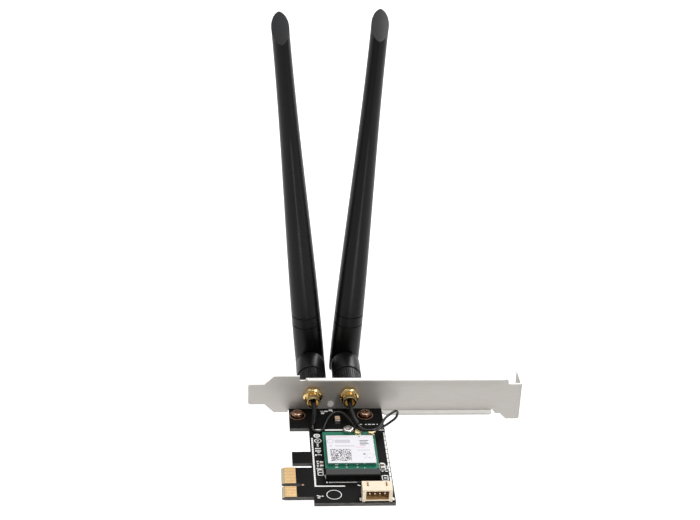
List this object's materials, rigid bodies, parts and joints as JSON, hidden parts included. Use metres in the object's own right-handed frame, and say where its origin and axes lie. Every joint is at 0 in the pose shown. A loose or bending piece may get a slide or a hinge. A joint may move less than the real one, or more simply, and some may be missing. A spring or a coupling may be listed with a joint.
{
  "type": "wireless network expansion card",
  "caption": "Plug-in wireless network card: folded steel slot bracket, black circuit board with gold edge contacts, radio module under a label, and tall black swivel antennas that tilt.",
  "frame": {"origin": "on the bracket tab's clamped face, in line with the screw notch, at the bracket's centre line", "axes": "+Z from the board's component side outwards, with the antennas standing along it; +X along the bracket from its tongue to its tab; +Y out through the bracket, away from the board"},
  "size_m": [0.1201, 0.1083, 0.1736],
  "materials": {
    "bracket_steel": "satin plated sheet steel",
    "board_mask": "black solder mask on glass-fibre board",
    "contact_gold": "gold plated copper",
    "screw_bronze": "bronze tinted steel",
    "socket_plastic": "dark moulded socket",
    "module_mask": "green solder mask on glass-fibre board",
    "shield_steel": "tinned sheet steel",
    "label_paper": "white label stock",
    "bright_steel": "nickel plated steel",
    "tin_plate": "tin plated copper",
    "header_nylon": "cream nylon",
    "capacitor_ceramic": "tan ceramic with tinned ends",
    "resistor_film": "black film on ceramic",
    "filter_tan": "tan ceramic with tinned ends",
    "jack_gold": "gold plated brass",
    "insulator_white": "white fluoropolymer",
    "turned_brass": "nickel free turned brass",
    "antenna_plastic": "satin black moulding",
    "lead_jacket": "grey-black fluoropolymer jacket",
    "sleeve_shrink": "black heat-shrink",
    "dipole_brass": "drawn brass tube",
    "whip_copper": "bare copper wire"
  },
  "bodies": {
    "card": {"bracket": "bracket_steel", "circuit_board": "board_mask", "edge_contacts": "contact_gold", "bracket_screws": "screw_bronze", "module_board": "module_mask", "module_shield": "shield_steel", "module_label": "label_paper", "module_standoff": "turned_brass", "module_screw": "bright_steel", "module_socket": "socket_plastic", "module_socket_contacts": "tin_plate", "coax_receptacles": "contact_gold", "header_housing": "header_nylon", "header_pins": "tin_plate", "chip_capacitors": "capacitor_ceramic", "chip_resistors": "resistor_film", "filter_capacitor": "filter_tan", "jack_insulators": "insulator_white", "jack_contacts": "contact_gold", "jack_washers": "bright_steel", "jack_nuts": "jack_gold", "plug_insulators": "insulator_white", "plug_contacts": "contact_gold", "left_pigtail_plug": "contact_gold", "left_pigtail_lead": "lead_jacket", "left_lead_sleeve": "sleeve_shrink", "left_jack_body": "jack_gold", "left_coupling_ring": "antenna_plastic", "left_coupling_nut": "turned_brass", "left_antenna_plug": "turned_brass", "right_pigtail_plug": "contact_gold", "right_pigtail_lead": "lead_jacket", "right_lead_sleeve": "sleeve_shrink", "right_jack_body": "jack_gold", "right_coupling_ring": "antenna_plastic", "right_coupling_nut": "turned_brass", "right_antenna_plug": "turned_brass"},
    "left_swivel": {"left_swivel_base": "antenna_plastic", "left_feed_base": "lead_jacket"},
    "left_rod": {"left_hinge_pins": "bright_steel", "left_antenna_shell": "antenna_plastic", "left_feed_rod": "lead_jacket", "left_dipole_sleeve": "dipole_brass", "left_dipole_whip": "whip_copper"},
    "right_swivel": {"right_swivel_base": "antenna_plastic", "right_feed_base": "lead_jacket"},
    "right_rod": {"right_hinge_pins": "bright_steel", "right_antenna_shell": "antenna_plastic", "right_feed_rod": "lead_jacket", "right_dipole_sleeve": "dipole_brass", "right_dipole_whip": "whip_copper"}
  },
  "joints": [
    {"name": "left_swivel_turn", "type": "hinge", "parent": "card", "child": "left_swivel", "pos_m": [-0.09116, 0.0099, 0], "axis": [0, -1, 0], "range_deg": [-5.85, 174.15]},
    {"name": "left_rod_tilt", "type": "hinge", "parent": "left_swivel", "child": "left_rod", "pos_m": [-0.09116, 0.0259, 0], "axis": [-0.9948, 0, -0.1019], "range_deg": [0, 90]},
    {"name": "right_swivel_turn", "type": "hinge", "parent": "card", "child": "right_swivel", "pos_m": [-0.07541, 0.0099, 0], "axis": [0, 1, 0], "range_deg": [-3.42, 176.58]},
    {"name": "right_rod_tilt", "type": "hinge", "parent": "right_swivel", "child": "right_rod", "pos_m": [-0.07541, 0.0259, 0], "axis": [-0.9982, 0, 0.0597], "range_deg": [-1.7, 88.3]}
  ]
}
